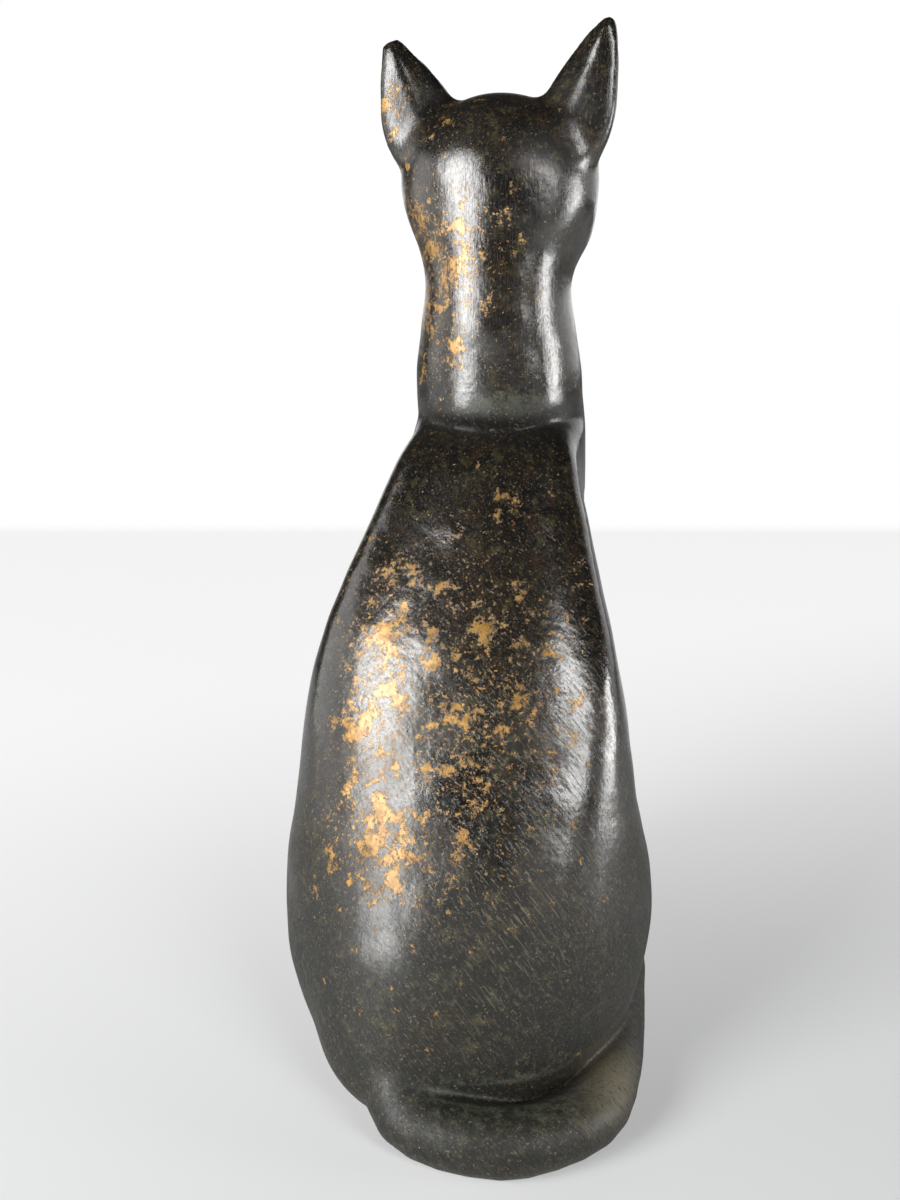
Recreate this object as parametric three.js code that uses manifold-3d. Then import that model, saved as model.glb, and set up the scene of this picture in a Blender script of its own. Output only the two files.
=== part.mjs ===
// A seated cat, hollow-cast in bronze as one piece, in the old Nile manner.
// Millimetres, +Z up. The cat faces -Y, and its tail lies on its right, which is -X.
// The figure is worked out as a signed distance: blended round masses, negative inside.

import * as THREE from "three";
import { mergeVertices } from "three/addons/utils/BufferGeometryUtils.js";
import Module from "manifold-3d";

const wasm = await Module();
wasm.setup();

// Driving dimensions.
const height = 330; // floor to the tip of the right ear

// The free form keeps its proportions: every length below is in 330ths of the height.
const partsOfHeight = 330;

// Trunk sections: half width, and how far the back, the widest line and the breast lie along Y.
const trunkSections = [
  { z: 0, half: 43, back: 80, widest: 22, breast: -46, aside: -4 },
  { z: 18, half: 53, back: 89, widest: 26, breast: -47, aside: -1.6 },
  { z: 60, half: 58, back: 85.5, widest: 30, breast: -48, aside: -1.6 },
  { z: 98, half: 55.4, back: 69.5, widest: 33, breast: -48, aside: -0.5 },
  { z: 142, half: 47.6, back: 46.5, widest: 28, breast: -50, aside: 0.6 },
  { z: 190, half: 31.5, back: 18, widest: 3, breast: -50, aside: 0.6 },
  { z: 220, half: 23, back: 0, widest: -17, breast: -48, aside: -1.4 },
];
const neckSections = [
  { z: 170, half: 28, back: 5.5, widest: -21, breast: -52, aside: 0 },
  { z: 220, half: 27.4, back: 5, widest: -20.5, breast: -48.5, aside: 0.8 },
  { z: 246, half: 24, back: 5.4, widest: -19, breast: -46, aside: 1.2 },
  { z: 262, half: 24, back: 4.6, widest: -18, breast: -44.5, aside: 1.2 },
  { z: 276, half: 25.5, back: 0.5, widest: -17, breast: -43, aside: 1.2 },
  { z: 294, half: 23, back: -6, widest: -18, breast: -40, aside: 1.2 },
];
const withers = 213.5;
const neckFoot = 185;
const neckTop = 296;

// The masses that swell the trunk. Those off the middle come in pairs.
const thigh = { centre: [33, 25, 51], radii: [27.5, 43, 49] };
const knee = { centre: [36, -12, 50], radii: [17, 26, 34] };
const shoulder = { centre: [13, -25, 190], radii: [14, 21, 36] };
const breast = { centre: [0, -41, 178], radii: [21.5, 21.5, 48] };
const rump = { from: [8, 62, 50], to: [12, 71, 22], startRadius: 20, endRadius: 17 };
const webBetweenLegs = { from: [0, -38, 2], to: [0, -42, 120], startRadius: 10, endRadius: 10 };

// The head, which sits a little to the cat's left.
const headAside = 1.2;
const skull = { centre: [0, -19, 283], radii: [31, 23, 26] };
const cheek = { centre: [14, -34, 270], radii: [14, 16, 13] };
const muzzle = { centre: [0, -47, 269], radii: [13, 17, 11] };
const chin = { centre: [0, -49, 260.5], radii: [8.5, 11, 6] };
const nose = { from: [0, -34, 291], to: [0, -58, 275], startRadius: 9, endRadius: 5 };
const throat = { y: -52, z: 249 }; // the head's rings fan out about it
const eye = { middle: [0, -22, 281], toward: [0.5, -0.86, 0.05], radii: [6.6, 2, 3.1] };

// The ears: the left one is broken short at its tip.
const earFoot = { x: 17.5, y: -17, z: 282 };
const earTip = { x: 34.3, y: -15 };
const rightEar = { side: -1, tip: 329.5, blunt: 1.4 };
const leftEar = { side: 1, tip: 324.5, blunt: 2.8 };

// The tail leaves the rump, turns right round the base and ends beside the forepaw.
const tailRoute = [
  { at: [10, 64, 44], radius: 15 },
  { at: [8, 81, 21], radius: 12.5 },
  { at: [-1, 90.5, 12], radius: 11.5 },
  { at: [-30, 90.5, 10], radius: 10.5 },
  { at: [-51, 71, 9.8], radius: 10 },
  { at: [-53, 32, 9.2], radius: 9.2 },
  { at: [-48, -22, 8.4], radius: 8.2 },
  { at: [-38, -63, 7.2], radius: 6.4 },
];

// The forelegs run down inside the breast to the heels of the forepaws.
const forelegRoute = [
  { at: [11.5, -30, 168], radius: 9 },
  { at: [14, -41.5, 140], radius: 12.8 },
  { at: [14.3, -46.5, 108], radius: 13.4 },
  { at: [14.2, -51, 70], radius: 13 },
  { at: [14, -54, 34], radius: 12.2 },
  { at: [14, -55, -2], radius: 12.6 },
];

// How finely the solid is faceted.
const bodySides = 54;
const ringStep = 8;
const underFloor = -4;
const frontCrowding = 0.35;

const { abs, cos, hypot, max, min, PI, sin, sqrt } = Math;
const { degToRad, mapLinear, radToDeg, smoothstep } = THREE.MathUtils;

// Blended union and cut of two distances, rounded over a width.
function blend(a, b, width) {
  const nearness = max(width - abs(a - b), 0) / width;
  return min(a, b) - (nearness * nearness * width) / 4;
}

function blendCut(a, b, width) {
  return -blend(-a, -b, width);
}

function ball(x, y, z, { centre: [cx, cy, cz], radii: [rx, ry, rz] }) {
  const [px, py, pz] = [x - cx, y - cy, z - cz];
  const stretch = hypot(px / rx, py / ry, pz / rz);
  const slope = hypot(px / rx ** 2, py / ry ** 2, pz / rz ** 2);
  return (stretch * (stretch - 1)) / max(slope, 1e-6);
}

// A limb with round ends whose radius changes evenly from one end to the other.
function limb(x, y, z, { from, to, startRadius, endRadius }) {
  const [dx, dy, dz] = [to[0] - from[0], to[1] - from[1], to[2] - from[2]];
  const [px, py, pz] = [x - from[0], y - from[1], z - from[2]];
  const along = min(max((px * dx + py * dy + pz * dz) / (dx * dx + dy * dy + dz * dz), 0), 1);
  const gap = hypot(px - along * dx, py - along * dy, pz - along * dz);
  return gap - (startRadius + (endRadius - startRadius) * along);
}

// A smooth curve through one value of each row, taken at a place along the key.
function smoothAt(rows, key, name, place) {
  const last = rows.length - 1;
  const here = min(max(place, rows[0][key]), rows[last][key]);
  let k = 0;
  while (k < last - 1 && here > rows[k + 1][key]) k += 1;
  const slope = (n) => {
    const [before, after] = [rows[max(n - 1, 0)], rows[min(n + 1, last)]];
    return (after[name] - before[name]) / (after[key] - before[key]);
  };
  const span = rows[k + 1][key] - rows[k][key];
  const s = (here - rows[k][key]) / span;
  return (
    (1 + 2 * s) * (1 - s) ** 2 * rows[k][name] +
    s * (1 - s) ** 2 * span * slope(k) +
    s * s * (3 - 2 * s) * rows[k + 1][name] +
    s * s * (s - 1) * span * slope(k + 1)
  );
}

// An egg-shaped section at each height, with its own roundness behind and in front.
function eggColumn(x, y, z, sections, rearPower, frontPower) {
  const half = smoothAt(sections, "z", "half", z);
  const widest = smoothAt(sections, "z", "widest", z);
  const across = x - smoothAt(sections, "z", "aside", z);
  const along = y - widest;
  const rear = along > 0;
  const reach = rear
    ? smoothAt(sections, "z", "back", z) - widest
    : widest - smoothAt(sections, "z", "breast", z);
  const power = rear ? rearPower : frontPower;
  const stretch = ((abs(across) / half) ** power + (abs(along) / reach) ** power) ** (1 / power);
  return hypot(across, along) * (1 - 1 / max(stretch, 1e-3));
}

function trunkAt(x, y, z) {
  const pair = abs(x);
  let form = blendCut(eggColumn(x, y, z, trunkSections, 2.1, 1.6), z - withers, 20);
  form = blend(form, ball(pair, y, z, thigh), 8);
  form = blend(form, ball(pair, y, z, shoulder), 10);
  form = blend(form, ball(x, y, z, breast), 12);
  form = blend(form, limb(x, y, z, webBetweenLegs), 6);
  form = blend(form, ball(pair, y, z, knee), 14);
  return blend(form, limb(x, y, z, rump), 16);
}

function headAt(fromMiddle, y, z) {
  const x = fromMiddle - headAside;
  let form = blend(ball(x, y, z, skull), ball(abs(x), y, z, cheek), 9);
  form = blend(form, ball(x, y, z, muzzle), 9);
  form = blend(form, limb(x, y, z, nose), 8);
  return blend(form, ball(x, y, z, chin), 4);
}

// The neck meets the trunk in a tight crease and flows into the head.
function bodyAt(x, y, z) {
  const column = eggColumn(x, y, z, neckSections, 2.1, 2.1);
  const neck = max(blendCut(column, z - neckTop, 14), neckFoot - z);
  return blend(blend(trunkAt(x, y, z), neck, 3), headAt(x, y, z), 11);
}

// Walks out from a point inside the body to its surface.
function surfaceFrom(origin, direction) {
  const at = (t) => bodyAt(...origin.map((value, axis) => value + direction[axis] * t));
  let inside = 0;
  let outside = 1;
  while (at(outside) < 0) {
    inside = outside;
    outside += max(0.6, -0.6 * at(outside));
  }
  for (let turn = 0; turn < 14; turn += 1) {
    const middle = (inside + outside) / 2;
    if (at(middle) < 0) inside = middle;
    else outside = middle;
  }
  return origin.map((value, axis) => value + direction[axis] * inside);
}

// Moves the vertices of a ball onto rings of points between two poles.
// Each ring runs anticlockwise, seen from the first pole.
function skin(firstPole, rings, lastPole) {
  const sides = rings[0].length;
  const blank = new THREE.SphereGeometry(1, sides, rings.length + 1);
  const places = blank.getAttribute("position");
  for (let k = 0; k < places.count; k += 1) {
    const row = Math.floor(k / (sides + 1));
    const side = (k % (sides + 1)) % sides;
    const ring = rings[min(max(row - 1, 0), rings.length - 1)];
    const pole = row === 0 ? firstPole : lastPole;
    places.setXYZ(k, ...(row === 0 || row > rings.length ? pole : ring[side]));
  }
  return solidOf(blank);
}

function solidOf(geometry) {
  geometry.deleteAttribute("normal");
  geometry.deleteAttribute("uv");
  const merged = mergeVertices(geometry);
  return new wasm.Manifold(
    new wasm.Mesh({
      numProp: 3,
      vertProperties: merged.getAttribute("position").array,
      triVerts: new Uint32Array(merged.index.array),
    }),
  );
}

function meshOf(solid, name, material) {
  const { vertProperties, triVerts } = solid.getMesh();
  const geometry = new THREE.BufferGeometry();
  geometry.setAttribute("position", new THREE.BufferAttribute(vertProperties, 3));
  geometry.setIndex(new THREE.BufferAttribute(triVerts, 1));
  geometry.computeVertexNormals();
  const mesh = new THREE.Mesh(geometry, material);
  mesh.name = name;
  return mesh;
}

// A ring of the body: a plane through an inner point, tipped back about X by its tilt.
function bodyRing({ y, z, tilt, crowding }) {
  const ring = [];
  for (let side = 0; side < bodySides; side += 1) {
    const turn = (2 * PI * side) / bodySides;
    const angle = turn - crowding * cos(turn);
    const direction = [cos(angle), sin(angle) * cos(tilt), sin(angle) * sin(tilt)];
    ring.push(surfaceFrom([0, y, z], direction));
  }
  return ring;
}

// Level rings climb from the floor to the throat, close together at the withers.
function levelRings() {
  const levels = [];
  for (let z = underFloor; z < withers - 8; z += ringStep) levels.push(z);
  for (const step of [-5, -2, 0, 2, 5]) levels.push(withers + step);
  for (let z = withers + 12; z < 247; z += ringStep) levels.push(z);
  return levels.map((z) => ({
    y: mapLinear(min(max(z, 0), 205), 0, 205, 14, -24),
    z,
    tilt: 0,
    crowding: frontCrowding,
  }));
}

// Over the head the rings fan out about the throat, from level to past upright at the muzzle.
function headRings() {
  const lastTilt = degToRad(124);
  const reachAlongFan = [
    { share: 0, reach: 30 },
    { share: 0.35, reach: 38 },
    { share: 0.7, reach: 24 },
    { share: 1, reach: 14 },
  ];
  const count = 16;
  const rings = [];
  for (let k = 0; k < count; k += 1) {
    const share = k / (count - 1);
    const tilt = lastTilt * share;
    const reach = smoothAt(reachAlongFan, "share", "reach", share);
    const y = throat.y + reach * cos(tilt);
    const z = throat.z + reach * sin(tilt);
    rings.push({ y, z, tilt, crowding: frontCrowding * (1 - share) });
  }
  return rings;
}

function makeBody() {
  const planes = [...levelRings(), ...headRings()];
  const front = planes[planes.length - 1];
  const nose = surfaceFrom([0, front.y, front.z], [0, -sin(front.tilt), cos(front.tilt)]);
  const rings = planes.map(bodyRing).reverse();
  return skin(nose, rings, [0, planes[0].y, underFloor]);
}

// A round rod along a curve, each ring square to it; shape turns an angle into a share of the radius.
function rod(curve, radiusAt, steps, sides, shape = () => 1) {
  const rings = [];
  for (let k = 0; k <= steps; k += 1) {
    const share = k / steps;
    const centre = curve.getPointAt(share);
    const ahead = curve.getTangentAt(share);
    const across = new THREE.Vector3().crossVectors(ahead, sideways(ahead)).normalize();
    const up = new THREE.Vector3().crossVectors(across, ahead);
    const ring = [];
    for (let side = 0; side < sides; side += 1) {
      const angle = (2 * PI * side) / sides;
      const { wide, high } = radiusAt(share);
      const size = shape(angle, share);
      const point = centre.clone();
      point.addScaledVector(across, wide * size * cos(angle));
      point.addScaledVector(up, high * size * sin(angle));
      ring.push(point.toArray());
    }
    rings.push(ring);
  }
  return skin(curve.getPointAt(0).toArray(), rings, curve.getPointAt(1).toArray());
}

// A direction well away from the way ahead: upward, or backward where the rod stands up.
function sideways(ahead) {
  return abs(ahead.z) > 0.9 ? new THREE.Vector3(0, 1, 0) : new THREE.Vector3(0, 0, 1);
}

// Radii that swell from nothing at the start and close in a round end.
function rounded(share, endShare) {
  const left = max(1 - share, 0) / endShare;
  return left >= 1 ? 1 : sqrt(max(1 - (1 - left) ** 2, 0.02));
}

// A tapering rod along a route of places and radii, closed by a round end.
function taperedRod(route, side, endShare, steps, sides) {
  const places = route.map(({ at: [x, y, z] }) => new THREE.Vector3(side * x, y, z));
  const curve = new THREE.CatmullRomCurve3(places);
  const lengths = curve.getLengths((route.length - 1) * 20);
  const total = lengths[lengths.length - 1];
  const rows = route.map(({ radius }, k) => ({ share: lengths[k * 20] / total, radius }));
  const radiusAt = (share) => {
    const radius = smoothAt(rows, "share", "radius", share) * rounded(share, endShare);
    return { wide: radius, high: radius };
  };
  return rod(curve, radiusAt, steps, sides);
}

// Three grooves over the front of a paw part its four toes.
function toes(angle, share) {
  const near = max(0, 1 - abs(share - 0.75) / 0.35);
  const groove = [54, 90, 126].some((place) => abs(radToDeg(angle) - place) < 1);
  return groove ? 1 - 0.11 * near : 1;
}

function makePaw(side, { heel, tip, wide, high }) {
  const line = new THREE.LineCurve3(
    new THREE.Vector3(side * heel[0], heel[1], 0),
    new THREE.Vector3(side * tip[0], tip[1], 0),
  );
  const radiusAt = (share) => {
    const swell = 0.86 + 0.14 * sin(PI * min(share / 1.4, 1)) ** 2;
    const round = rounded(share, 0.3) * rounded(1 - share, 0.15);
    return { wide: wide * swell * round, high: high * swell * round };
  };
  return rod(line, radiusAt, 9, 20, toes);
}

const forepaw = { heel: [14, -46], tip: [14.5, -97], wide: 13, high: 18 };
const hindPaw = { heel: [39, 34], tip: [40, -62], wide: 12.5, high: 20 };

// A flat leaf, wider below, hollowed in front between its rims.
function makeEar({ side, tip, blunt }) {
  const foot = new THREE.Vector3(headAside + side * earFoot.x, earFoot.y, earFoot.z);
  const top = new THREE.Vector3(headAside + side * earTip.x, earTip.y, tip);
  const along = top.clone().sub(foot);
  const length = along.length();
  along.normalize();
  const opening = new THREE.Vector3(side * 0.35, -1, 0).projectOnPlane(along).normalize();
  const across = new THREE.Vector3().crossVectors(opening, along);
  const outline = [
    { share: -0.15, half: 2.5, thick: 8 },
    { share: 0.05, half: 5, thick: 8 },
    { share: 0.17, half: 8.4, thick: 7.4 },
    { share: 0.3, half: 12, thick: 6.3 },
    { share: 0.5, half: 11.9, thick: 4.9 },
    { share: 0.72, half: 8.6, thick: 3.5 },
    { share: 0.88, half: 5.2, thick: 2.7 },
    { share: 1, half: blunt, thick: 1.6 },
  ];
  const sides = 20;
  const shares = [-0.18, -0.06, 0.06, 0.18, 0.3, 0.42, 0.54, 0.66, 0.78, 0.87, 0.94, 1];
  const rings = shares.map((share) => {
    const half = smoothAt(outline, "share", "half", share);
    const thick = smoothAt(outline, "share", "thick", share);
    const open = smoothstep(share, 0.1, 0.3) * (1 - smoothstep(share, 0.8, 0.95));
    const ring = [];
    for (let k = 0; k < sides; k += 1) {
      const angle = (2 * PI * k) / sides;
      const wide = half * cos(angle);
      const rim = thick * sin(angle);
      const cup = 1 - (wide / (0.8 * half)) ** 2;
      const hollow = cup > 0 ? thick * (0.95 - 1.05 * sqrt(cup)) : rim;
      const front = rim > 0 ? rim + open * (min(hollow, rim) - rim) : rim;
      const point = foot.clone().addScaledVector(along, share * length);
      point.addScaledVector(across, wide).addScaledVector(opening, front);
      ring.push(point.toArray());
    }
    return ring;
  });
  rings.reverse();
  return skin(top.toArray(), rings, foot.clone().addScaledVector(along, -0.2 * length).toArray());
}

// Long almond eyes stand a little proud of the face, turned outward and up at their outer corners.
function makeEye(side) {
  const [middleX, middleY, middleZ] = eye.middle;
  const [towardX, towardY, towardZ] = eye.toward;
  const toward = new THREE.Vector3(side * towardX, towardY, towardZ).normalize();
  const seat = surfaceFrom([headAside + middleX, middleY, middleZ], toward.toArray());
  const almond = new THREE.SphereGeometry(1, 14, 8);
  almond.scale(...eye.radii);
  almond.rotateY(side * -0.24);
  almond.rotateZ(side * 0.62);
  almond.translate(...seat);
  return solidOf(almond);
}

function makeCat() {
  const floor = new THREE.BoxGeometry(2 * height, 2 * height, height);
  floor.translate(0, 0, -height / 2);
  const pieces = [
    taperedRod(tailRoute, 1, 0.03, 34, 12),
    taperedRod(forelegRoute, 1, 0.01, 12, 16),
    taperedRod(forelegRoute, -1, 0.01, 12, 16),
    makeEar(rightEar),
    makeEar(leftEar),
    makePaw(-1, forepaw),
    makePaw(1, forepaw),
    makePaw(-1, hindPaw),
    makePaw(1, hindPaw),
    makeEye(-1),
    makeEye(1),
  ];
  const whole = pieces.reduce((sum, piece) => sum.add(piece), makeBody());
  return whole.subtract(solidOf(floor));
}

const bronze = new THREE.MeshStandardMaterial({ color: 0x2b2822, roughness: 0.4, metalness: 0.85 });
const cat = meshOf(makeCat(), "seated_cat", bronze);
cat.geometry.scale(height / partsOfHeight, height / partsOfHeight, height / partsOfHeight);

const model = new THREE.Group();
model.add(cat);

export default model;
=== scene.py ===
from math import cos, pi, radians, sin

import bpy
import numpy as np
from mathutils import Matrix, Quaternion, Vector


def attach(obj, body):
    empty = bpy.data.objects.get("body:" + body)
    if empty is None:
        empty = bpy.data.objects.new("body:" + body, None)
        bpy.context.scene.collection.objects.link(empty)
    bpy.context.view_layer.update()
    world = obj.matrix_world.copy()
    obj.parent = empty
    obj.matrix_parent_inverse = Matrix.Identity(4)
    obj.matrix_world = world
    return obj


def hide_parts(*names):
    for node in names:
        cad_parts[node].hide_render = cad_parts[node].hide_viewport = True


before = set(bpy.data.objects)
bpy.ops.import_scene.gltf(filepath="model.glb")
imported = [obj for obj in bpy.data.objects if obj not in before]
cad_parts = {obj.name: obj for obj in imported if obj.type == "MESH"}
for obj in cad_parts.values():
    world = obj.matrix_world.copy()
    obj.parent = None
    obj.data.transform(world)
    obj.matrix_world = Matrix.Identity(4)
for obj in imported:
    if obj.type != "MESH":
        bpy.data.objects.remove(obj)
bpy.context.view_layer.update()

# Trunk and haunches. The cat is one hollow bronze casting. Its wax was modelled in the round,
# so the trunk is worked out here as blended round masses, in millimetres, as distances that are
# negative inside. The cat faces -Y and its tail lies on its right, which is -X.

# Rows of: height, half width, back, widest line, breast, shift sideways.
TRUNK = (
    (0, 43, 80, 22, -46, -4),
    (18, 53, 89, 26, -47, -1.6),
    (60, 58, 85.5, 30, -48, -1.6),
    (98, 55.4, 69.5, 33, -48, -0.5),
    (142, 47.6, 46.5, 28, -50, 0.6),
    (190, 31.5, 18, 3, -50, 0.6),
    (220, 23, 0, -17, -48, -1.4),
)
WITHERS = 213.5
THIGH = ((33, 25, 51), (27.5, 43, 49))
KNEE = ((36, -12, 50), (17, 26, 34))
SHOULDER = ((13, -25, 190), (14, 21, 36))
BREAST = ((0, -41, 178), (21.5, 21.5, 48))
# Limbs: start, end, radius at the start, radius at the end.
WEB_BETWEEN_LEGS = ((0, -38, 2), (0, -42, 120), 10, 10)
RUMP = ((8, 62, 50), (12, 71, 22), 20, 17)


def blend(a, b, width):
    """The union of two forms, rounded over a width."""
    nearness = np.maximum(width - np.abs(a - b), 0) / width
    return np.minimum(a, b) - nearness**2 * width / 4


def blend_cut(a, b, width):
    """What two forms share, rounded over a width."""
    return -blend(-a, -b, width)


def ball(x, y, z, centre, radii):
    """A round mass with three radii."""
    parts = [(value - c) / r for value, c, r in zip((x, y, z), centre, radii)]
    stretch = np.sqrt(sum(part**2 for part in parts))
    slope = np.sqrt(sum((part / r) ** 2 for part, r in zip(parts, radii)))
    return stretch * (stretch - 1) / np.maximum(slope, 1e-6)


def limb(x, y, z, start, end, start_radius, end_radius):
    """A round limb whose radius changes evenly from one end to the other."""
    run = [b - a for a, b in zip(start, end)]
    gap = [value - a for value, a in zip((x, y, z), start)]
    along = sum(g * r for g, r in zip(gap, run)) / sum(r * r for r in run)
    along = np.clip(along, 0, 1)
    away = np.sqrt(sum((g - along * r) ** 2 for g, r in zip(gap, run)))
    return away - (start_radius + (end_radius - start_radius) * along)


def smooth_at(rows, place):
    """The other columns of the rows, on a smooth curve through them, at places along the first."""
    rows = np.array(rows, float)
    keys, values = rows[:, 0], rows[:, 1:]
    before = np.maximum(np.arange(len(keys)) - 1, 0)
    after = np.minimum(np.arange(len(keys)) + 1, len(keys) - 1)
    slopes = (values[after] - values[before]) / (keys[after] - keys[before])[:, None]
    place = np.clip(place, keys[0], keys[-1])
    k = np.clip(np.searchsorted(keys, place, side="right") - 1, 0, len(keys) - 2)
    span = keys[k + 1] - keys[k]
    s = (place - keys[k]) / span
    weights = ((1 + 2 * s) * (1 - s) ** 2, s * (1 - s) ** 2 * span)
    weights += (s * s * (3 - 2 * s), s * s * (s - 1) * span)
    return [
        sum(w * part for w, part in zip(weights, (column[k], slope[k], column[k + 1], slope[k + 1])))
        for column, slope in zip(values.T, slopes.T)
    ]


def egg_column(x, y, z, rows, rear_power, front_power):
    """An egg-shaped section at each height, with its own roundness behind and in front."""
    half, back, widest, breast, aside = smooth_at(rows, z)
    across, along = x - aside, y - widest
    rear = along > 0
    reach = np.where(rear, back - widest, widest - breast)
    power = np.where(rear, rear_power, front_power)
    stretch = ((np.abs(across) / half) ** power + (np.abs(along) / reach) ** power) ** (1 / power)
    return np.hypot(across, along) * (1 - 1 / np.maximum(stretch, 1e-3))


def fade(value, start, end):
    """Climbs smoothly from 0 at the start to 1 at the end."""
    s = np.clip((value - start) / (end - start), 0, 1)
    return s * s * (3 - 2 * s)


def trunk(x, y, z):
    """The trunk with its haunches, shoulders and rump."""
    pair = np.abs(x)
    form = blend_cut(egg_column(x, y, z, TRUNK, 2.1, 1.6), z - WITHERS, 20)
    form = blend(form, ball(pair, y, z, *THIGH), 8)
    form = blend(form, ball(pair, y, z, *SHOULDER), 10)
    form = blend(form, ball(x, y, z, *BREAST), 12)
    form = blend(form, limb(x, y, z, *WEB_BETWEEN_LEGS), 6)
    form = blend(form, ball(pair, y, z, *KNEE), 14)
    return blend(form, limb(x, y, z, *RUMP), 16)


# Neck and head. The neck rises out of the withers in a tight crease and flows into a round skull.
# The face is finished on the wax: long rimmed eyes, a small nose with nostrils, and a cut mouth.

# Rows of: height, half width, back, widest line, breast, shift sideways.
NECK = (
    (170, 28, 5.5, -21, -52, 0),
    (220, 27.4, 5, -20.5, -48.5, 0.8),
    (246, 24, 5.4, -19, -46, 1.2),
    (262, 24, 4.6, -18, -44.5, 1.2),
    (276, 25.5, 0.5, -17, -43, 1.2),
    (294, 23, -6, -18, -40, 1.2),
)
NECK_TOP = 296
CREASE_DEPTH = 1.8
HEAD_ASIDE = 1.2
SKULL = ((0, -19, 283), (31, 23, 26))
CHEEK = ((14, -34, 270), (14, 16, 13))
MUZZLE = ((0, -47, 269), (13, 17, 11))
NOSE_BRIDGE = ((0, -34, 291), (0, -58, 275), 9, 5)
CHIN = ((0, -49, 260.5), (8.5, 11, 6))
WHISKER_PAD = ((5.4, -56.5, 267), (5.6, 6.2, 4.6))
NOSE_TIP = ((0, -60.6, 273.6), (4.4, 4, 3))
NOSTRIL = ((2.7, -64.2, 272.6), (1.1, 2, 0.9))
MOUTH = 262.3
MOUTH_DEPTH = 0.9
EYE_SEAT = (13.6, -43.2, 282.2)
# Angles of the eye, in radians: its slant, and how far it faces sideways.
EYE_SLANT = -0.24
EYE_SIDEWAYS = 0.62
EYE_SIZE = (6.6, 3.1)
EYEBALL = ((0, 0.4, 0), (5.6, 1.9, 2.7))
EYE_RIM = 0.8


def eye_frame(x, y, z):
    """Places beside an eye: along its length, out of the face, and up."""
    level = (cos(EYE_SIDEWAYS), sin(EYE_SIDEWAYS))
    ahead = (level[0] * cos(EYE_SLANT), level[1] * cos(EYE_SLANT), -sin(EYE_SLANT))
    out = (-level[1], level[0], 0)
    up = (level[0] * sin(EYE_SLANT), level[1] * sin(EYE_SLANT), cos(EYE_SLANT))
    gap = [value - seat for value, seat in zip((x, y, z), EYE_SEAT)]
    return [sum(g * axis for g, axis in zip(gap, axes)) for axes in (ahead, out, up)]


def head(from_middle, y, z):
    """The skull and the face, without the ears."""
    x = from_middle - HEAD_ASIDE
    pair = np.abs(x)
    form = blend(ball(x, y, z, *SKULL), ball(pair, y, z, *CHEEK), 9)
    form = blend(form, ball(x, y, z, *MUZZLE), 9)
    form = blend(form, limb(x, y, z, *NOSE_BRIDGE), 8)
    form = blend(form, ball(x, y, z, *CHIN), 4)
    form = blend(form, ball(pair, y, z, *WHISKER_PAD), 3)
    form = blend(form, ball(x, y, z, *NOSE_TIP), 2)
    form = blend_cut(form, -ball(pair, y, z, *NOSTRIL), 0.8)
    mouth = MOUTH + 0.035 * pair**2 + 1.2 * np.exp(-((pair / 1.6) ** 2))
    lips = np.exp(-(((z - mouth) / 0.75) ** 2)) * np.clip((13 - pair) / 4, 0, 1)
    parting = np.exp(-((pair / 0.7) ** 2)) * np.clip((z - 262) / 1.5, 0, 1) * np.clip((271 - z) / 1.5, 0, 1)
    form = form + MOUTH_DEPTH * np.maximum(lips, parting) * np.clip((-44 - y) / 4, 0, 1)
    along, out, up = eye_frame(pair, y, z)
    lengthwise, upward = along / EYE_SIZE[0], up / EYE_SIZE[1]
    almond = np.sqrt(lengthwise**2 + upward**2 * (1 + 0.35 * lengthwise**2))
    rim = np.hypot((almond - 1) * 3.4, form) - EYE_RIM
    eyeball = ball(along, out, up, *EYEBALL)
    return np.where(np.abs(out) < 6, blend(blend(form, eyeball, 0.6), rim, 0.8), form)


def body(x, y, z):
    """Trunk, neck and head, with the crease at the foot of the neck."""
    column = egg_column(x, y, z, NECK, 2.1, 2.1)
    neck = np.maximum(blend_cut(column, z - NECK_TOP, 14), 185 - z)
    below = trunk(x, y, z)
    crease = np.exp(-(((below - neck) / 2.4) ** 2)) * fade(y, -30, -8) * fade(z, 203, 210)
    return blend(blend(below, neck, 3) + CREASE_DEPTH * crease, head(x, y, z), 11)


# Ears. Tall leaves of bronze set wide on the skull, hollowed in front between thin rims, with a
# soft ridge down the back. The tip of the left one is broken off short.

EAR_FOOT = (17.5, -17, 282)
EAR_TIP = (34.3, -15)
# Rows of: share of the ear's length, half width, half thickness.
EAR_OUTLINE = (
    (-0.15, 2.5, 8),
    (0.05, 5, 8),
    (0.17, 8.4, 7.4),
    (0.3, 12, 6.3),
    (0.5, 11.9, 4.9),
    (0.72, 8.6, 3.5),
    (0.88, 5.2, 2.7),
)
# Each ear: side, height of the tip, half width of the tip.
EARS = {"right": (-1, 329.5, 1.4), "left": (1, 324.5, 2.8)}


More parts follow.
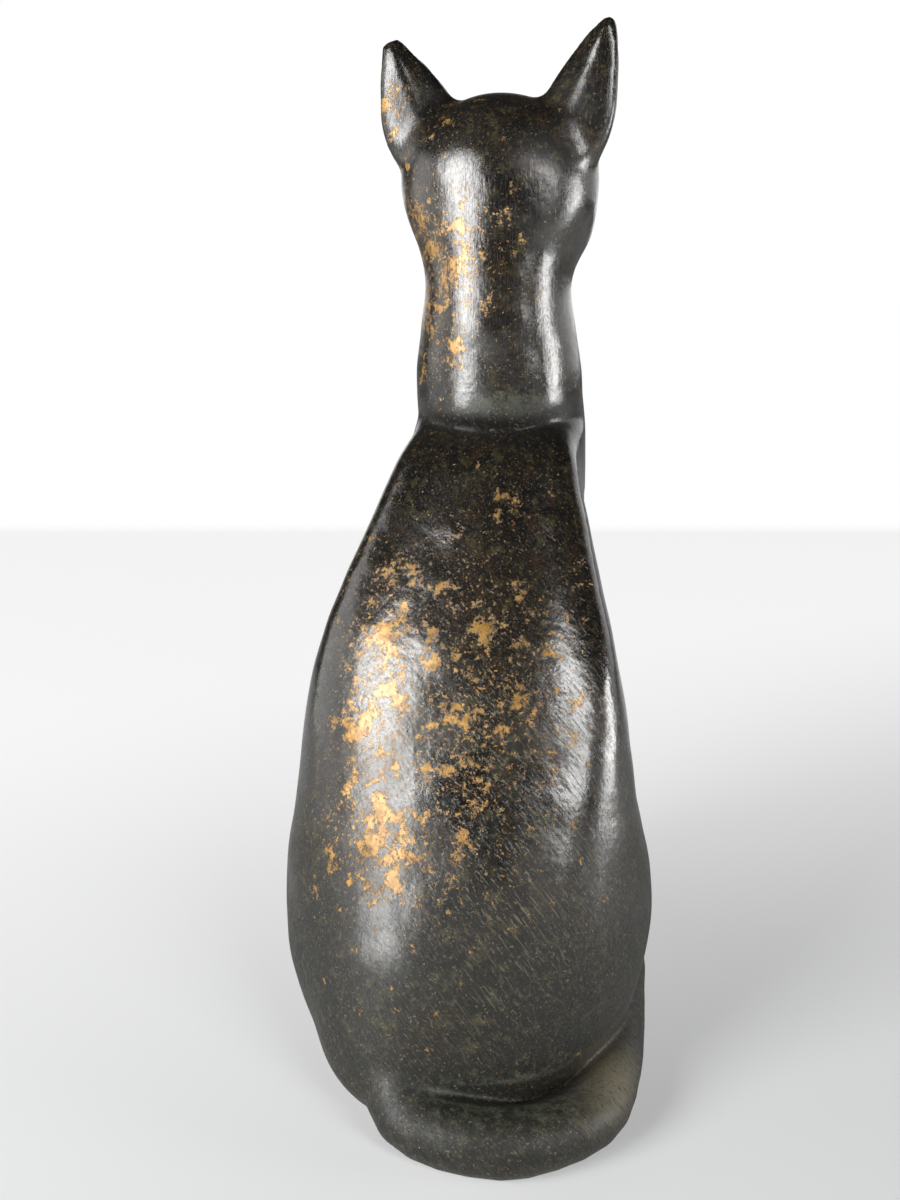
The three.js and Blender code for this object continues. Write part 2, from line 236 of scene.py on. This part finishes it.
def ear(x, y, z, side, tip, blunt):
    """The leaf and its hollow."""
    foot = Vector((HEAD_ASIDE + side * EAR_FOOT[0], *EAR_FOOT[1:]))
    run = Vector((HEAD_ASIDE + side * EAR_TIP[0], EAR_TIP[1], tip)) - foot
    length = run.length
    up = run.normalized()
    opening = Vector((side * 0.35, -1, 0))
    opening = (opening - up * opening.dot(up)).normalized()
    sideways = opening.cross(up)
    gap = [value - seat for value, seat in zip((x, y, z), foot)]
    along, across, out = [sum(g * a for g, a in zip(gap, axis)) for axis in (up, sideways, opening)]
    share = along / length
    half, thick = smooth_at(EAR_OUTLINE + ((1, blunt, 1.6),), share)
    back_ridge = np.where(out < 0, 1 + 0.22 * np.exp(-((across / (0.35 * half)) ** 2)), 1)
    stretch = np.sqrt((across / half) ** 2 + (out / (thick * back_ridge)) ** 2)
    leaf = np.hypot(across, out) * (1 - 1 / np.maximum(stretch, 1e-3))
    leaf = blend_cut(leaf, along - length, 1.6)
    leaf = np.maximum(leaf, -along - 0.1 * length)
    open_here = fade(share, 0.1, 0.3) * (1 - fade(share, 0.8, 0.95))
    deep = 1.05 * thick * np.maximum(open_here, 0.05)
    from_rim = out - 0.95 * thick
    stretch = np.sqrt((across / (0.8 * half)) ** 2 + (from_rim / deep) ** 2)
    hollow = np.hypot(across, from_rim) * (1 - 1 / np.maximum(stretch, 1e-3))
    hollow = np.maximum(hollow, np.maximum(0.08 - share, share - 0.95) * length)
    return leaf, hollow


# Tail. It leaves the rump, turns right round the base and lies along the right side to the
# forepaw, a round rope of bronze with a groove where it meets the body.

# Rows of: x, y, z, radius.
TAIL = (
    (10, 64, 44, 15),
    (8, 81, 21, 12.5),
    (-1, 90.5, 12, 11.5),
    (-30, 90.5, 10, 10.5),
    (-51, 71, 9.8, 10),
    (-53, 32, 9.2, 9.2),
    (-48, -22, 8.4, 8.2),
    (-38, -63, 7.2, 6.4),
)


def rope(x, y, z, route, joints):
    """A tapering limb along a smooth route of places and radii."""
    route = np.array(route, float)
    steps = np.sqrt(np.linalg.norm(np.diff(route[:, :3], axis=0), axis=1))
    keys = np.concatenate(([0], np.cumsum(steps)))
    stations = np.array(smooth_at(np.column_stack((keys, route)), np.linspace(0, keys[-1], joints))).T
    form = np.full(np.shape(x), 1e3)
    for here, beyond in zip(stations, stations[1:]):
        form = np.minimum(form, limb(x, y, z, here[:3], beyond[:3], here[3], beyond[3]))
    return form


# Legs and paws. The forelegs stand side by side below the breast, and each paw ends in four toes
# parted by grooves that were cut in the wax.

# Rows of: x, y, z, radius.
FORELEG = (
    (11.5, -30, 168, 9),
    (14, -41.5, 140, 12.8),
    (14.3, -46.5, 108, 13.4),
    (14.2, -51, 70, 13),
    (14, -54, 34, 12.2),
    (14, -55, 0, 12.6),
)
# Each paw: heel, tip, half width, height.
PAWS = (((14, -46), (14.5, -97), 13, 18), ((39, 34), (40, -62), 12.5, 20))


def paw(x, y, z, heel, tip, wide, high):
    """A rounded paw with three grooves between its toes."""
    run = Vector(tip) - Vector(heel)
    length = run.length
    dx, dy = run / length
    along = (x - heel[0]) * dx + (y - heel[1]) * dy
    across = (x - heel[0]) * dy - (y - heel[1]) * dx
    share = np.clip(along / length, 0, 1)
    swell = 0.86 + 0.14 * np.sin(pi * np.minimum(share / 1.4, 1)) ** 2
    front, rear = 0.3 * length, 0.15 * length
    ahead = share > 0.5
    end = np.where(ahead, np.maximum(along - length + front, 0) / front, np.maximum(rear - along, 0) / rear)
    reach = np.where(ahead, front, rear)
    parts = ((across, wide * swell), (z, high * swell), (end * reach, reach))
    stretch = np.sqrt(sum((value / radius) ** 2 for value, radius in parts))
    slope = np.sqrt(sum((value / radius**2) ** 2 for value, radius in parts))
    form = stretch * (stretch - 1) / np.maximum(slope, 1e-6)
    toe = across / (0.5 * wide)
    groove = (1 - np.abs(np.sin(pi * toe))) ** 3 * (np.abs(toe) < 1.5)
    return form + 1.7 * groove * fade(along, length - 24, length - 12) * fade(z, -1, 3)


def cat(x, y, z):
    """The whole figure."""
    pair = np.abs(x)
    form = blend(body(x, y, z), rope(pair, y, z, FORELEG, 9), 2)
    for shape in PAWS:
        form = blend(form, paw(pair, y, z, *shape), 2)
    for side, tip, blunt in EARS.values():
        leaf, hollow = ear(x, y, z, side, tip, blunt)
        form = blend_cut(blend(form, leaf, 5), -hollow, 1.5)
    return blend(form, rope(x, y, z, TAIL, 30), 2.4)


# Cast skin. The bronze kept the slight waviness of the hand-worked wax, and the underside was
# filed flat. The skin is one closed mesh, drawn where the distance to the figure is nothing.

CELL = 1.36
FINE_CELL = 1.05
BLOCK = 4
WAVE = 0.0022
SHELTER_REACH = 6


def waviness(x, y, z):
    """A gentle unevenness, mostly below a quarter of a millimetre."""
    draw = np.random.default_rng(7)
    total = 0
    for length in (46, 39, 33, 28, 24, 21, 18, 15.5, 13.5, 12):
        ahead = draw.normal(size=3)
        ahead *= 2 * pi / (length * np.linalg.norm(ahead))
        phase = ahead[0] * x + ahead[1] * y + ahead[2] * z + draw.uniform(0, 2 * pi)
        total = total + length * np.sin(phase)
    return total * WAVE


def skin_distance(x, y, z):
    """The distance to the wavy skin, cut flat at the floor."""
    return np.maximum(cat(x, y, z) + waviness(x, y, z), -z)


def evaluate(places):
    """The distance at many places, in handfuls that suit the processor's memory."""
    handfuls = np.array_split(places, len(places) // 40000 + 1)
    return np.concatenate([skin_distance(*handful.T) for handful in handfuls])


def steps(*stops):
    """Grid lines from stop to stop, each with its own spacing."""
    lines = [np.array([stops[0]])]
    for start, spacing, end in zip(stops[0:-2:2], stops[1::2], stops[2::2]):
        count = round((end - start) / spacing)
        lines.append(np.linspace(start, end, count + 1)[1:])
    return np.concatenate(lines)


def sampled(grid):
    """The distance on every node of a grid, worked out in full only near the skin."""
    middles = [np.array([line[k : k + BLOCK].mean() for k in range(0, len(line), BLOCK)]) for line in grid]
    places = np.stack(np.meshgrid(*middles, indexing="ij"), -1)
    rough = evaluate(places.reshape(-1, 3)).reshape(places.shape[:3])
    for axis, line in enumerate(grid):
        rough = np.repeat(rough, BLOCK, axis).take(range(len(line)), axis)
    near = np.nonzero(np.abs(rough) < 2.1 * BLOCK * CELL)
    rough[near] = evaluate(np.column_stack([line[k] for line, k in zip(grid, near)]))
    return rough


def skin_mesh(values, grid):
    """A vertex in each cell that the skin crosses, and a face across each crossed grid edge."""
    inside = values < 0
    corners = [(i, j, k) for i in (0, 1) for j in (0, 1) for k in (0, 1)]
    wide, deep, high = [size - 1 for size in inside.shape]
    count = sum(inside[i : i + wide, j : j + deep, k : k + high].astype(int) for i, j, k in corners)
    cells = np.argwhere((count > 0) & (count < 8))
    number = np.full(count.shape, -1)
    number[tuple(cells.T)] = np.arange(len(cells))
    total, crossings = np.zeros((len(cells), 3)), np.zeros(len(cells))
    faces = []
    for axis in range(3):
        others = [other for other in range(3) if other != axis]
        for p in (0, 1):
            for q in (0, 1):
                start = cells.copy()
                start[:, others[0]] += p
                start[:, others[1]] += q
                end = start.copy()
                end[:, axis] += 1
                a, b = values[tuple(start.T)], values[tuple(end.T)]
                crossed = (a < 0) != (b < 0)
                share = np.where(crossed, a / np.where(crossed, a - b, 1), 0)[:, None]
                near_end, far_end = [
                    np.column_stack([line[k] for line, k in zip(grid, node.T)]) for node in (start, end)
                ]
                total += np.where(crossed[:, None], near_end + share * (far_end - near_end), 0)
                crossings += crossed
        low, high = [slice(1, -1)] * 3, [slice(1, -1)] * 3
        low[axis], high[axis] = slice(0, -1), slice(1, None)
        edges = np.argwhere(inside[tuple(low)] != inside[tuple(high)])
        outward = inside[tuple(low)][tuple(edges.T)] != (axis == 1)
        ring = []
        for p, q in ((0, 0), (1, 0), (1, 1), (0, 1)):
            cell = edges.copy()
            cell[:, others[0]] += 1 - p
            cell[:, others[1]] += 1 - q
            ring.append(number[tuple(cell.T)])
        ring = np.stack(ring, -1)
        faces.append(np.where(outward[:, None], ring, ring[:, ::-1]))
    return total / crossings[:, None], np.concatenate(faces)


def slope_at(places, reach=0.2):
    """The gradient of the distance, by differences."""
    moves = np.eye(3) * reach
    return np.stack([evaluate(places + move) - evaluate(places - move) for move in moves], -1) / (2 * reach)


def onto_skin(places):
    """The places, moved along the slope until they lie on the skin."""
    for _ in range(2):
        slope = slope_at(places)
        step = evaluate(places)[:, None] * slope / np.maximum((slope**2).sum(1), 0.1)[:, None]
        places = places - np.clip(step, -0.8, 0.8)
    places[:, 2] = np.where(places[:, 2] < 0.25, 0, places[:, 2])
    return places


grid = (
    steps(-70, CELL, 70),
    steps(-104, CELL, 110),
    steps(-3 * FINE_CELL, FINE_CELL, 0, FINE_CELL, 27.6, 1.5, 240.8, FINE_CELL, 334),
)
places, quads = skin_mesh(sampled(grid), grid)
places = onto_skin(places)

cast = bpy.data.meshes.new("cast_cat")
cast.from_pydata((places / 1000).tolist(), [], quads.tolist())
cast.polygons.foreach_set("use_smooth", [True] * len(cast.polygons))
cast.validate()
cast_cat = bpy.data.objects.new("cast_cat", cast)
bpy.context.scene.collection.objects.link(cast_cat)

# How far each vertex is shut in by what stands near it, from 0 in the open to 1 in a crevice.
outward = slope_at(places)
outward /= np.maximum(np.linalg.norm(outward, axis=1), 0.1)[:, None]
shelter = 1 - np.clip(evaluate(places + SHELTER_REACH * outward) / SHELTER_REACH, 0, 1)
cast.attributes.new("shelter", "FLOAT", "POINT").data.foreach_set("value", shelter)

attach(cast_cat, "root")
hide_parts("seated_cat")

# Finish. Dark brown-black patina over the bronze, waxed and rubbed, with fine brush lines and
# pale specks in it, a dull grey-green film low down, verdigris in the creases, and worn scraps
# of gold leaf, thickest on the left of the back.


class Tone:
    """A socket of a material. Sums on it add Math nodes."""

    def __init__(self, tree, socket=None):
        self.tree, self.socket = tree, socket

    def make(self, kind, settings, values, out=0):
        """A node: its kind, its settings, then the values or links of its sockets."""
        node = self.tree.nodes.new("ShaderNode" + kind)
        for name, setting in settings.items():
            setattr(node, name, setting)
        for name, value in values.items():
            if isinstance(value, Tone):
                self.tree.links.new(value.socket, node.inputs[name])
            else:
                node.inputs[name].default_value = value
        return Tone(self.tree, node.outputs[out])

    def maths(self, operation, *values):
        return self.make("Math", {"operation": operation}, dict(enumerate(values)))

    def __add__(self, other):
        return self.maths("ADD", self, other)

    def __sub__(self, other):
        return self.maths("SUBTRACT", self, other)

    def __rsub__(self, other):
        return self.maths("SUBTRACT", other, self)

    def __mul__(self, other):
        return self.maths("MULTIPLY", self, other)

    def __truediv__(self, other):
        return self.maths("DIVIDE", self, other)

    def __pow__(self, other):
        return self.maths("POWER", self, other)

    __radd__, __rmul__ = __add__, __mul__

    def over(self, *others):
        """The greatest of this and the others."""
        top = self
        for other in others:
            top = self.maths("MAXIMUM", top, other)
        return top

    def ramp(self, low, high):
        """Climbs smoothly from 0 at low to 1 at high."""
        settings = {"interpolation_type": "SMOOTHSTEP"}
        return self.make("MapRange", settings, {"Value": self, "From Min": low, "From Max": high})

    def mix(self, under, over):
        """A colour: under where this is 0, over where it is 1."""
        return self.make("Mix", {"data_type": "RGBA"}, {0: self, 6: under, 7: over}, out=2)

    def stretch(self, operation, factor):
        """A vector times, or divided by, a vector."""
        return self.make("VectorMath", {"operation": operation}, {0: self, 1: factor})

    def noise(self, size, detail=3, roughness=0.5, warp=0):
        """Clouds whose largest lumps are about size across, at this place."""
        values = {"Vector": self, "Scale": 1 / size, "Detail": detail, "Roughness": roughness}
        return self.make("TexNoise", {}, {**values, "Distortion": warp})


def rgb(red, green, blue):
    """The linear colour of an 8-bit display colour."""
    shares = [value / 255 for value in (red, green, blue)]
    linear = [share / 12.92 if share < 11 / 255 else ((share + 0.055) / 1.055) ** 2.4 for share in shares]
    return (*linear, 1)


BROWN_BLACK = (rgb(14, 13, 12), rgb(26, 23, 20))
RUST = rgb(52, 37, 25)
FILM = rgb(22, 24, 18)
OLIVE = rgb(60, 57, 38)
VERDIGRIS = rgb(74, 79, 68)
PAINTED_SHADE = rgb(10, 9, 8)
FRECKLE = rgb(92, 76, 42)
PALE = rgb(128, 120, 98)
BRUSH_DARK = rgb(12, 11, 10)
GOLD = (rgb(132, 95, 38), rgb(172, 132, 68))
LINE_SLANT = radians(38)
LEAF_WEIGHT = 0.34

bronze = bpy.data.materials.new("bronze")
bronze.use_nodes = True
shader = bronze.node_tree.nodes["Principled BSDF"]
blank = Tone(bronze.node_tree)
place = blank.make("TexCoord", {}, {}, out=3).stretch("MULTIPLY", (1000, 1000, 1000))
x, y, z = [blank.make("SeparateXYZ", {}, {"Vector": place}, out=axis) for axis in range(3)]
shelter = blank.make("Attribute", {"attribute_name": "shelter"}, {}, out=2)


def near(centre, reach):
    """A soft patch of the finish about a place, 1 in the middle."""
    gaps = [((axis - c) / r) ** 2 for axis, c, r in zip((x, y, z), centre, reach) if r]
    return blank.maths("EXPONENT", sum(gaps[1:], gaps[0]) * -1)


# Brush lines: upright on the neck and head, slanting down to the cat's right on the back.
above_withers = z.ramp(205, 228)
slanted = blank.make("VectorRotate", {"rotation_type": "Y_AXIS"}, {"Vector": place, "Angle": -LINE_SLANT})
upright_lines = place.stretch("DIVIDE", (1, 1, 14)).noise(0.55, 5, 0.75, 0.2)
slant_lines = slanted.stretch("DIVIDE", (1, 1, 9)).noise(0.6, 5, 0.75, 0.2)
lines = slant_lines * (1 - above_withers) + upright_lines * above_withers
scored = near((-22, 0, 88), (34, 0, 46)) * y.ramp(10, 40)
bright_lines = lines.ramp(0.57, 0.68)
score_lines = slanted.stretch("DIVIDE", (1, 1, 26)).noise(0.7, 3, 0.7).ramp(0.58, 0.64) * scored
dark_lines = lines.ramp(0.48, 0.38)

# The gold leaf: soft regions where it still holds, then the torn patches and crumbs left in them.
leaf_left = near((23, 0, 136), (20, 0, 48)) * y.ramp(-10, 15) * 0.48
leaf_low = near((18, 0, 94), (28, 0, 22)) * y.ramp(0, 30) * 0.48
leaf_scraps = near((16, 0, 72), (52, 0, 44)) * y.ramp(0, 30) * 0.2
leaf_back = near((-4, 0, 130), (54, 0, 72)) * y.ramp(-5, 20) * 0.35
leaf_neck = near((17, 0, 258), (25, 0, 52)) * y.ramp(-32, -10) * 0.42
leaf_ear = near((34, -12, 306), (9, 14, 12)) * 0.48
leaf_regions = leaf_left.over(leaf_low, leaf_scraps, leaf_back, leaf_neck, leaf_ear)
leaf = (leaf_regions - shelter.ramp(0.25, 0.6) * 0.2) * LEAF_WEIGHT
torn = slanted.noise(8, 12, 0.78, 0.15)
crumbs = slanted.noise(1.5, 5, 0.75, 0.1)
scraped = bright_lines * 0.04 + dark_lines * 0.06
patches = (torn + leaf - scraped).ramp(0.655, 0.675)
gold = patches.over((crumbs + leaf - scraped).ramp(0.7, 0.72))

# The dull film, the dust on the crown, painted shade in the crease at the foot of the neck and in sheltered
# hollows, the verdigris of the creases, the mottling, and a painted highlight on the tail.
cloud = place.noise(30, 5, 0.6)
film = (150 - z + (cloud - 0.5) * 130).ramp(0, 100)
dusty = near((0, -16, 304), (38, 30, 12)).over(near((-14, -4, 294), (11, 20, 11)))
# Painted shade: a near-black band along the crease at the foot of the neck. Its metal and roughness are
# raised below so that it stays dark.
crease_shade = near((0, 2, 209), (40, 16, 5.5))
crease = near((-4, 4, 215.5), (20, 14, 7)).over(near((-30, 80, 22), (60, 40, 9)) * 0.8)
verdigris = (crease * 0.8 + shelter * 0.3 + (place.noise(3, 7, 0.8) - 0.5) * 1.8).ramp(0.4, 0.85)
specks = place.noise(0.9, 2, 0.6).ramp(0.63, 0.7)
blotches = place.noise(4, 6, 0.7).ramp(0.52, 0.66)
rust = place.noise(6, 7, 0.75, 0.5).ramp(0.5, 0.62)
# A painted highlight: a pale patch on top of the tail that stands for a softbox's reflection.
painted_tail_highlight = near((-57, 66, 19), (9, 17, 7)) * 0.7
freckles = place.noise(1.3, 4, 0.75).ramp(0.54, 0.66)
pale = (specks * 0.5).over(bright_lines * 0.3, score_lines * 0.4, painted_tail_highlight)

# The colours, laid one over another.
base = cloud.ramp(0.35, 0.65).mix(*BROWN_BLACK)
base = (rust * 0.6).mix(base, RUST)
base = (film * 0.6).mix(base, FILM)
base = (blotches * 0.8).mix(base, OLIVE)
base = (verdigris * 0.8).mix(base, VERDIGRIS)
# Painted shade: near black laid into sheltered hollows and along the crease at the foot of the neck.
base = (shelter.ramp(0.25, 0.6) * 0.9).over(crease_shade).mix(base, PAINTED_SHADE)
base = (freckles * cloud.ramp(0.4, 0.6) * 0.45).mix(base, FRECKLE)
base = pale.mix(base, PALE)
base = (dark_lines * 0.7).mix(base, BRUSH_DARK)
gold_tone = place.noise(3, 4, 0.6).ramp(0.35, 0.65).mix(*GOLD)
base = gold.mix(base, gold_tone)

dull = film.over(verdigris, shelter.ramp(0.2, 0.6), dusty, crease_shade)
roughness = 0.16 + dull * 0.16 + film * 0.2 + (cloud - 0.5) * 0.1
roughness = roughness + gold * 0.14 + dark_lines * 0.2 + dusty * 0.15 + crease_shade * 0.5
dents = place.noise(8, 3, 0.5) * 1.7 + place.noise(2.4, 3, 0.6) * 0.4
height = lines * (above_withers * 0.2 + 0.12) - score_lines * 0.3 + dents + gold * 0.1
bump = blank.make("Bump", {}, {"Height": height, "Strength": 0.6, "Distance": 0.0003})

for name, tone in {
    "Base Color": base,
    "Roughness": roughness,
    "Metallic": gold * 0.25 + crease_shade * 0.6 + 0.1,
    "Coat Weight": (1 - dull) * (1 - gold * 0.4),
    "Normal": bump,
    "Coat Normal": bump,
}.items():
    bronze.node_tree.links.new(tone.socket, shader.inputs[name])
shader.inputs["Coat Roughness"].default_value = 0.14
cast.materials.append(bronze)

# Floor and light. A pale paper floor runs into a white backdrop, which is bright beyond the cat
# and dark behind the camera. Seen from the camera, the floor glows with painted light, brighter
# towards the far side and the cat's left. A large key softbox leans over the cat's left, with a
# faint fill beside it, and two smaller ones stand on its right.

FLOOR_RADIUS = 3
FLOOR_CORNERS = 96
PAPER = (0.78, 0.79, 0.79, 1)
VIEW_YAW = radians(14)
VIEW_TILT = radians(18)
BACKDROP_WAY = (-0.35, -0.94, -1.2)

scene = bpy.context.scene
scene.view_settings.view_transform = "Standard"
turns = [2 * pi * k / FLOOR_CORNERS for k in range(FLOOR_CORNERS)]
ring = [(FLOOR_RADIUS * cos(turn), FLOOR_RADIUS * sin(turn), 0) for turn in turns]
floor_mesh = bpy.data.meshes.new("floor")
floor_mesh.from_pydata(ring, [], [range(FLOOR_CORNERS)])
floor = bpy.data.objects.new("floor", floor_mesh)
scene.collection.objects.link(floor)
paper = bpy.data.materials.new("paper")
paper.use_nodes = True
floor_mesh.materials.append(paper)
paper_shader = paper.node_tree.nodes["Principled BSDF"]
paper_shader.inputs["Base Color"].default_value = PAPER
paper_shader.inputs["Roughness"].default_value = 0.8
sheet = Tone(paper.node_tree)
spot = sheet.make("TexCoord", {}, {}, out=3)
distance = sheet.make("VectorMath", {"operation": "LENGTH"}, {0: spot}, out=1)
seen = sheet.make("LightPath", {}, {})
glow = sheet.make("Emission", {}, {"Strength": 1})
beyond_cat, left_of_cat = [
    sheet.make("VectorMath", {"operation": "DOT_PRODUCT"}, {0: spot, 1: way}, out=1)
    for way in ((sin(VIEW_YAW), -cos(VIEW_YAW), 0), (cos(VIEW_YAW), sin(VIEW_YAW), 0))
]
# Painted light: the floor glows brighter towards the far side and the cat's left, where the key stands,
# then fades into the white backdrop.
painted_floor_light = (beyond_cat + left_of_cat * 0.35).ramp(-0.3, 0.36) * 0.85
backdrop_and_painted_light = painted_floor_light.over(beyond_cat.ramp(0.52, 0.68), distance.ramp(0.9, 1.3))
plain = Tone(sheet.tree, paper_shader.outputs[0])
away = sheet.make("MixShader", {}, {0: backdrop_and_painted_light * seen, 1: plain, 2: glow})
sheet.tree.links.new(away.socket, sheet.tree.nodes["Material Output"].inputs["Surface"])

world = bpy.data.worlds.new("studio")
scene.world = world
world.use_nodes = True
air = Tone(world.node_tree)
looking = air.make("TexCoord", {}, {})
beyond = air.make("VectorMath", {"operation": "DOT_PRODUCT"}, {0: looking, 1: BACKDROP_WAY}, out=1)
brightness = (0.02 + beyond.ramp(0.15, 0.6)).over(air.make("LightPath", {}, {}))
world.node_tree.links.new(brightness.socket, world.node_tree.nodes["Background"].inputs["Strength"])
world.node_tree.nodes["Background"].inputs["Color"].default_value = (1, 1, 1, 1)


def softbox(name, bearing, distance, height, wide, high, watts, lean=0):
    """A panel light at a bearing round from the cat's back towards its left, facing the cat."""
    light = bpy.data.lights.new(name, "AREA")
    light.shape, light.size, light.size_y, light.energy = "RECTANGLE", wide, high, watts
    lamp = bpy.data.objects.new(name, light)
    scene.collection.objects.link(lamp)
    lamp.location = (distance * sin(radians(bearing)), distance * cos(radians(bearing)), height)
    toward = Vector((0, 0, 0.2)) - lamp.location
    leaning = Quaternion((0, 0, 1), radians(lean))
    lamp.rotation_euler = (toward.to_track_quat("-Z", "Y") @ leaning).to_euler()


softbox("key", 36, 1.1, 0.4, 0.52, 0.82, 19, 12)
softbox("left_fill", 80, 1.2, 0.4, 0.8, 0.75, 3)
softbox("right", -89, 1.1, 0.18, 0.34, 0.36, 5)
softbox("right_high", -45, 1.1, 0.62, 0.22, 0.8, 7, 40)

# Camera. It looks down on the cat from behind and a little to its right, from about the height
# of its eyes, through a lens of ordinary length and on an upright frame.

CAMERA_SEAT = (-0.0885, 0.4056, 0.284)

camera_data = bpy.data.cameras.new("camera")
camera_data.sensor_width = 24
camera_data.lens = 26
camera_data.clip_start = 0.01
camera = bpy.data.objects.new("camera", camera_data)
scene.collection.objects.link(camera)
scene.camera = camera
right = Vector((-cos(VIEW_YAW), -sin(VIEW_YAW), 0))
level = Vector((sin(VIEW_YAW), -cos(VIEW_YAW), 0))
ahead = level * cos(VIEW_TILT) - Vector((0, 0, sin(VIEW_TILT)))
turned = Matrix((right, right.cross(ahead), -ahead)).transposed().to_4x4()
camera.matrix_world = Matrix.Translation(CAMERA_SEAT) @ turned
